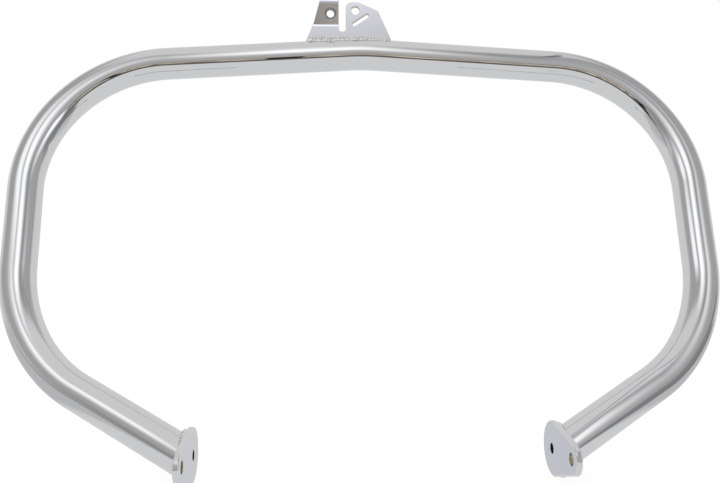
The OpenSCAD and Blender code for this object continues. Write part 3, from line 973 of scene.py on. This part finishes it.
def card(name, level, middle, width, height, fade, flat=False, facing=None):
    """A lamp behind cloth, or a thing of the room, that polished metal sees and the camera doesn't. fade is
    the shares of its width and height over which it fades in from its two sides, its bottom and its top.
    It stands facing the object or the way it is given, or hangs flat over the object."""
    material, tree = fresh(name)
    parts = add_node(tree, "SeparateXYZ", [("Vector", add_node(tree, "TexCoord"))])
    across, up = parts.outputs["X"], parts.outputs["Y"]
    left, right, bottom, top = fade
    lit = zone(tree, (across, 1.0, 1.0 - left), (across, 0.0, right), (up, 0.0, bottom), (up, 1.0, 1.0 - top))
    clear = add_node(tree, "BsdfTransparent")
    lamp = add_node(tree, "Emission", strength=level)
    mix = add_node(tree, "MixShader", [(0, lit), (1, clear), (2, lamp)])
    add_node(tree, "OutputMaterial", [("Surface", mix)])
    w, h = width / 2, height / 2
    facing = Vector(facing or (-middle[0], -middle[1], 0)).normalized()
    turned = Matrix.Rotation(math.pi, 4, "Y") if flat else facing.to_track_quat("Z", "Y").to_matrix().to_4x4()
    made = stage_sheet(name, [(-w, -h, 0), (w, -h, 0), (w, h, 0), (-w, h, 0)], material)
    made.matrix_world = Matrix.Translation(middle) @ turned
    made.visible_camera = False
    made.visible_shadow = False


def stage_sheet(name, corners, material):
    """A flat sheet of the stage, with four corners."""
    mesh = bpy.data.meshes.new(name)
    mesh.from_pydata(corners, [], [(0, 1, 2, 3)])
    mesh.materials.append(material)
    made = bpy.data.objects.new(name, mesh)
    bpy.context.scene.collection.objects.link(made)
    return made


def studio_world(sizes):
    """A pale room round the table: light behind the object and overhead, greyer walls at the sides and in
    front."""
    world = bpy.data.worlds.new("studio_room")
    world.use_nodes = True
    tree = world.node_tree
    tree.nodes.clear()
    bpy.context.scene.world = world
    place = add_node(tree, "TexCoord")
    parts = add_node(tree, "SeparateXYZ", [("Vector", place)])
    x, z = parts.outputs["X"], parts.outputs["Z"]
    # how far a direction points to the back, whatever its height
    level_part = add_node(tree, "VectorMath", [(0, place), (1, (1, 1, 0))], operation="MULTIPLY")
    level_way = add_node(tree, "VectorMath", [(0, level_part)], operation="NORMALIZE")
    ahead = add_node(tree, "SeparateXYZ", [("Vector", level_way)]).outputs["Y"]
    # the white backdrop is widest near the table, and the ceiling begins higher up over the side walls
    above = add_node(tree, "Math", [(0, z), (1, 0.25)], operation="SUBTRACT", use_clamp=True)
    backdrop = add_node(tree, "Math", [(0, above), (1, -0.9), (2, ahead)], operation="MULTIPLY_ADD")
    over_sides = zone(tree, (ahead, -0.9, -0.6), (ahead, 0.9, 0.6))
    overhead = add_node(tree, "Math", [(0, over_sides), (1, -0.09), (2, z)], operation="MULTIPLY_ADD")
    low_side = ((z, 0.2, 0.1), (ahead, -0.6, -0.3), (ahead, 0.6, 0.3))
    dim_patch = ((x, -0.32, -0.45), (x, -0.85, -0.75), (ahead, 0.0, -0.2), (z, 0.26, 0.16))
    level = layered(
        tree, sizes.wall_front,
        (sizes.wall_side, (ahead, -1.0, -0.6)),
        (sizes.wall_left_low, *low_side, (x, 0.0, -0.1)),
        (sizes.wall_right_low, *low_side, (x, 0.0, 0.1)),
        (sizes.wall_dim, *dim_patch),
        (sizes.wall_back, (backdrop, 0.0, 0.42)),
        (sizes.ceiling, (overhead, 0.72, 0.85)),
    )
    room = add_node(tree, "Background", [("Strength", level)], color=linear("#FFFEFD"))
    white = add_node(tree, "Background", color=(1, 1, 1, 1), strength=1.0)
    path = add_node(tree, "LightPath")
    mix = add_node(tree, "MixShader", [(0, path.outputs["Is Camera Ray"]), (1, room), (2, white)])
    add_node(tree, "OutputWorld", [("Surface", mix)])


def levels(**rows):
    """How bright the metal sees the parts of the room."""
    rows = {name: (value, f"Brightness of {words}; 1 is white") for name, (value, words) in rows.items()}
    return labelled(FloatProperty, rows, min=0)


def places(**rows):
    """Lengths and places of the stage, in metres."""
    return labelled(FloatProperty, rows, unit="LENGTH")


class StudioSizes(bpy.types.PropertyGroup):
    __annotations__ = shares(
        lens=(35.0, "Focal length in millimetres on a sensor 36 mm wide"),
    ) | angles(
        camera_yaw=(2.85, "How far the camera turns to the right"),
        camera_roll=(-0.29, "How far the camera leans to the left"),
    ) | places(
        table_half=(0.33, "Half the width of the pale table that the metal mirrors"),
        table_half_front=(0.5, "The same at the table's front"),
        table_front=(-0.78, "Front edge of that table"),
    ) | levels(
        table=(0.73, "the table"),
        room_front=(0.13, "the floor beyond the table's front edge"),
        room_far=(0.42, "the far end of that floor"),
        things=(0.85, "the pale things on that floor"),
        black_thing=(0.02, "the black thing on that floor"),
        room_left=(0.56, "the floor beside the table on the left"),
        room_corner=(0.38, "the floor at the front left"),
        room_right=(0.25, "the floor beside the table on the right"),
        wall_front=(0.46, "the wall behind the camera"),
        wall_side=(0.42, "the walls at both sides"),
        wall_dim=(0.32, "the dim patch low on the left wall"),
        wall_left_low=(0.57, "the left wall near the floor"),
        wall_right_low=(0.28, "the right wall near the floor"),
        wall_back=(0.72, "the wall behind the object"),
        ceiling=(0.72, "the ceiling"),
        left_light=(1.42, "the light at the front left"),
        window_light=(1.57, "the wide light above the camera"),
        right_light=(1.77, "the light at the front right"),
        right_panel=(1.2, "the panel that stands edge on to the right leg"),
        dark_ceiling=(0.34, "the dark corner of the ceiling"),
        dark_post=(0.02, "the dark post below the camera"),
        dark_bar=(0.2, "the dark bar over the right side"),
    )
    camera: FloatVectorProperty(
        name="Camera", description="Place of the camera", default=(-0.0327, -0.7315, -0.2408), unit="LENGTH"
    )


class CRASHBARS_OT_stage(bpy.types.Operator):
    """Set the floor, the soft studio lights and the camera"""

    bl_idname = "crashbars.stage"
    bl_label = "Stage"

    def execute(self, context):
        scene, sizes = context.scene, context.scene.crash_studio
        lens = bpy.data.cameras.new("camera")
        lens.lens, lens.sensor_width, lens.sensor_fit = sizes.lens, 36.0, "HORIZONTAL"
        camera = bpy.data.objects.new("camera", lens)
        scene.collection.objects.link(camera)
        yaw, roll = sizes.camera_yaw, sizes.camera_roll
        level = Vector((math.cos(yaw), -math.sin(yaw), 0))
        right = level * math.cos(roll) + Z * math.sin(roll)
        ahead = Vector((math.sin(yaw), math.cos(yaw), 0))
        turned = Matrix((right, right.cross(ahead), -ahead)).transposed().to_4x4()
        camera.matrix_world = Matrix.Translation(sizes.camera) @ turned
        scene.camera = camera

        reach, low = 12.0, CAD_BOX[0][2]
        corners = [(-reach, -reach, low), (reach, -reach, low), (reach, reach, low), (-reach, reach, low)]
        stage_sheet("floor", corners, studio_floor(sizes))

        studio_world(sizes)
        card(
            "left_light", sizes.left_light,
            middle=(-0.85, -0.75, 0.62), width=1.0, height=1.25, fade=(0.45, 0.3, 0.6, 0.7),
        )
        card(
            "window_light", sizes.window_light,
            middle=(-0.05, -1.35, 1.3), width=1.45, height=2.3, fade=(0.45, 0.5, 0.35, 0.95),
        )
        card(
            "right_light", sizes.right_light,
            middle=(0.82, -0.75, 0.4), width=0.72, height=1.6, fade=(0.5, 0.95, 0.55, 0.95),
        )
        card(
            "white_panel", sizes.right_panel, facing=(-1, -0.5, 0),
            middle=(0.82, -1.07, 0.03), width=1.5, height=0.6, fade=(0.25, 0.25, 0.3, 0.3),
        )
        card(
            "dark_ceiling_corner", sizes.dark_ceiling,
            middle=(0.95, -1.7, 2.6), width=2.5, height=3.6, fade=(0.02, 0.1, 0.2, 0.95),
        )
        card(
            "dark_post", sizes.dark_post,
            middle=(-0.09, -0.66, -0.2), width=0.08, height=0.15, fade=(0.1, 0.1, 0.1, 0.1),
        )
        card(
            "dark_bar", sizes.dark_bar, flat=True,
            middle=(0.47, -0.3, 0.62), width=0.035, height=0.9, fade=(0.2, 0.2, 0.5, 0.5),
        )

        scene.view_settings.view_transform = "Standard"
        return {"FINISHED"}


GROUPS = {
    "crash_tube": TubeSizes,
    "crash_bracket": BracketSizes,
    "crash_nut": NutSizes,
    "crash_plates": PlateSizes,
    "crash_welds": WeldSizes,
    "crash_finish": FinishColours,
    "crash_studio": StudioSizes,
}
PIECE_OPERATORS = (
    CRASHBARS_OT_tube, CRASHBARS_OT_bracket, CRASHBARS_OT_nut, CRASHBARS_OT_plates, CRASHBARS_OT_welds,
)


class CRASHBARS_PT_build(bpy.types.Panel):
    """Lists the crash bars' operators and their sizes"""

    bl_idname = "CRASHBARS_PT_build"
    bl_label = "Crash bars"
    bl_space_type = "VIEW_3D"
    bl_region_type = "UI"
    bl_category = "Crash bars"

    def draw(self, context):
        for operator in (*PIECE_OPERATORS, CRASHBARS_OT_stage):
            self.layout.operator(operator.bl_idname)
        for name, group in GROUPS.items():
            box = self.layout.box()
            for size in group.__annotations__:
                box.prop(getattr(context.scene, name), size)


CLASSES = (*GROUPS.values(), *PIECE_OPERATORS, CRASHBARS_OT_stage, CRASHBARS_PT_build)


def register():
    for cls in CLASSES:
        bpy.utils.register_class(cls)
    for name, group in GROUPS.items():
        setattr(bpy.types.Scene, name, PointerProperty(type=group))


def unregister():
    for name in GROUPS:
        delattr(bpy.types.Scene, name)
    for cls in reversed(CLASSES):
        bpy.utils.unregister_class(cls)


def main():
    register()
    bpy.ops.crashbars.tube()
    bpy.ops.crashbars.bracket()
    bpy.ops.crashbars.nut()
    bpy.ops.crashbars.plates()
    bpy.ops.crashbars.welds()
    bpy.ops.crashbars.stage()
    bpy.context.view_layer.update()


if __name__ == "__main__":
    main()
